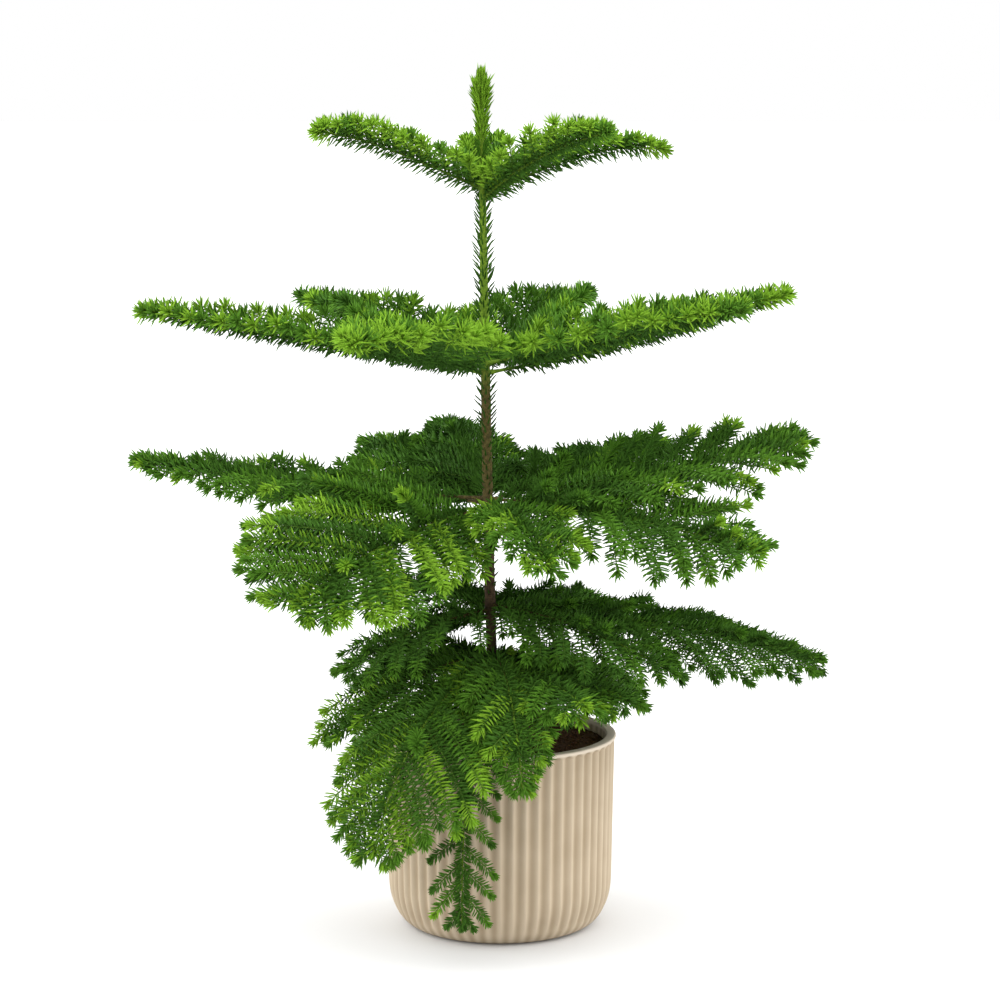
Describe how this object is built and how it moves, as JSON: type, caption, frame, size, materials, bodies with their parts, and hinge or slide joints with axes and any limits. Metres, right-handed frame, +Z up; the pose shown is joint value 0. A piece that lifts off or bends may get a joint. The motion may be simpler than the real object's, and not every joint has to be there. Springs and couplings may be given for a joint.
{
  "type": "potted norfolk island pine",
  "caption": "Young norfolk island pine with a slim upright stem and flat whorls of soft-needled boughs, standing as a houseplant in a fluted stoneware pot.",
  "frame": {"origin": "centre of the pot's flat underside", "axes": "+Z up along the trunk, +X to the right and +Y away as the picture sees the plant"},
  "size_m": [0.6346, 0.5309, 0.7775],
  "materials": {
    "stoneware": "matte unglazed",
    "potting_mix": "moist and granular",
    "bark": "rough brown bark",
    "young_bark": "smooth green bark",
    "needles_top": "fresh satin needles",
    "needles_upper": "fresh satin needles",
    "needles_middle": "satin needles",
    "needles_lower": "dark satin needles",
    "needles_skirt": "dark satin needles"
  },
  "bodies": {
    "root": {"bough_lower_back_right": "bark", "bough_lower_right": "bark", "bough_middle_back": "bark", "bough_middle_back_left": "bark", "bough_middle_back_right": "bark", "bough_middle_front": "bark", "bough_middle_front_left": "bark", "bough_middle_front_right": "bark", "bough_middle_left": "bark", "bough_middle_left_back": "bark", "bough_middle_right": "bark", "bough_skirt_back_left": "bark", "bough_skirt_back_right": "bark", "bough_skirt_front": "bark", "bough_skirt_front_left": "bark", "bough_skirt_left": "bark", "bough_skirt_right": "bark", "bough_upper_back_left": "young_bark", "bough_upper_back_right": "young_bark", "bough_upper_front_left": "young_bark", "bough_upper_front_right": "young_bark", "bough_upper_left": "young_bark", "bough_upper_right": "young_bark", "foliage_lower_back_left": "needles_lower", "foliage_lower_back_right": "needles_lower", "foliage_lower_front_left": "needles_lower", "foliage_lower_front_right": "needles_lower", "foliage_lower_left": "needles_lower", "foliage_lower_right": "needles_lower", "foliage_middle_back": "needles_middle", "foliage_middle_back_left": "needles_middle", "foliage_middle_back_right": "needles_middle", "foliage_middle_front": "needles_middle", "foliage_middle_front_left": "needles_middle", "foliage_middle_front_right": "needles_middle", "foliage_middle_left": "needles_middle", "foliage_middle_left_back": "needles_middle", "foliage_middle_right": "needles_middle", "foliage_skirt_back_left": "needles_skirt", "foliage_skirt_back_right": "needles_skirt", "foliage_skirt_front": "needles_skirt", "foliage_skirt_front_left": "needles_skirt", "foliage_skirt_front_middle": "needles_skirt", "foliage_skirt_front_right": "needles_skirt", "foliage_skirt_left": "needles_skirt", "foliage_skirt_right": "needles_skirt", "foliage_top_back": "needles_top", "foliage_top_front_right": "needles_top", "foliage_top_left": "needles_top", "foliage_top_right": "needles_top", "foliage_upper_back_left": "needles_upper", "foliage_upper_back_right": "needles_upper", "foliage_upper_front_left": "needles_upper", "foliage_upper_front_right": "needles_upper", "foliage_upper_left": "needles_upper", "foliage_upper_right": "needles_upper", "leader": "needles_top", "pot": "stoneware", "soil": "potting_mix", "trunk": "bark"}
  },
  "joints": []
}
